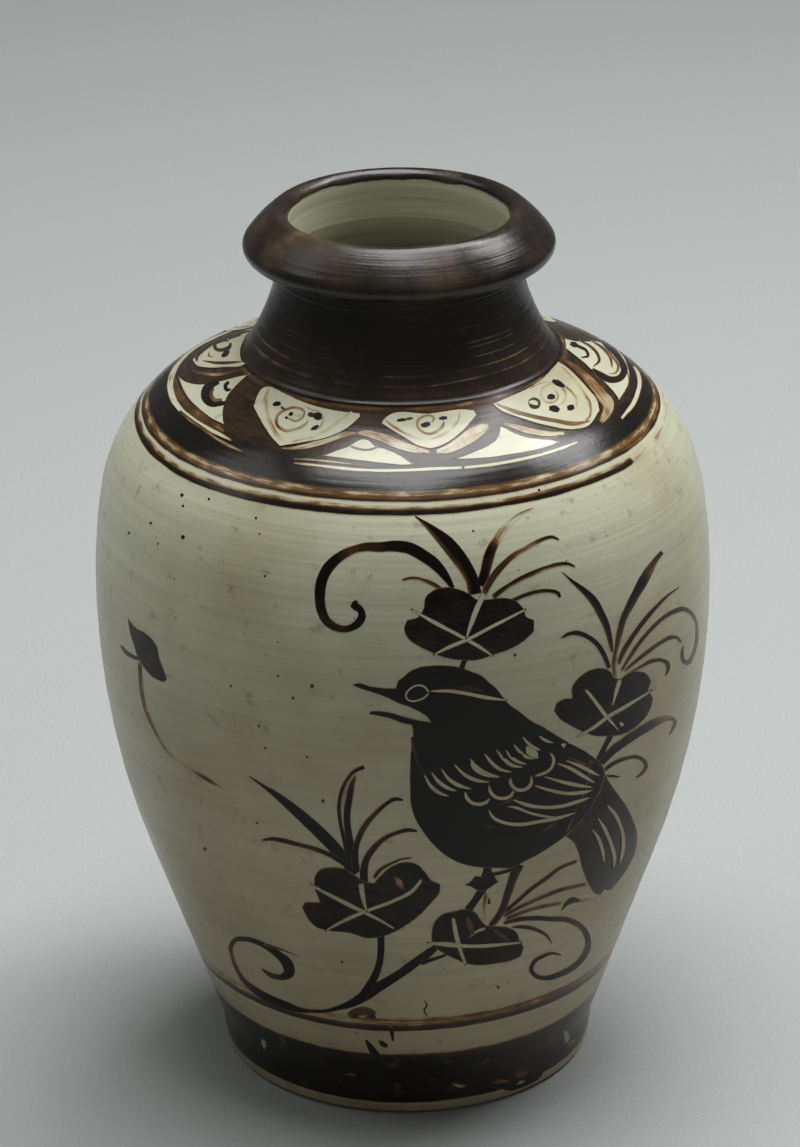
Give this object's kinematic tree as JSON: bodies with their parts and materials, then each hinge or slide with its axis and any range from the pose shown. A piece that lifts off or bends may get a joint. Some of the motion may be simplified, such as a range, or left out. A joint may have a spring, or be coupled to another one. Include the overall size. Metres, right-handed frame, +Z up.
{
  "type": "meiping vase",
  "caption": "Broad-shouldered stoneware bottle vase with a short neck and rolled lip, a painted white slip body and dark iron-glazed neck and mouth.",
  "frame": {"origin": "middle of the foot ring's resting plane, on the axis of the vase", "axes": "+Z up along the axis of the vase, from the foot to the mouth; the vase is round, and -Y faces the viewer of the painted front"},
  "size_m": [0.2046, 0.2046, 0.3],
  "materials": {
    "stoneware": "bare buff stoneware, dry and slightly rough",
    "white_slip": "greyish white slip under a clear glossy glaze, with fine dark specks",
    "iron_glaze": "glossy dark brown iron glaze, thinner and browner on edges and throwing rings",
    "pale_glaze": "pale greyish glaze lining, satin",
    "iron_paint": "brushed iron pigment under clear glaze, near black where thick and golden brown where thin"
  },
  "bodies": {
    "root": {"foot_ring": "stoneware", "floor_disc": "stoneware", "lower_body": "stoneware", "upper_body": "stoneware", "neck_collar": "stoneware", "mouth_rim": "stoneware", "slip_coat": "white_slip", "iron_glaze": "iron_glaze", "inner_glaze": "pale_glaze"}
  },
  "joints": []
}
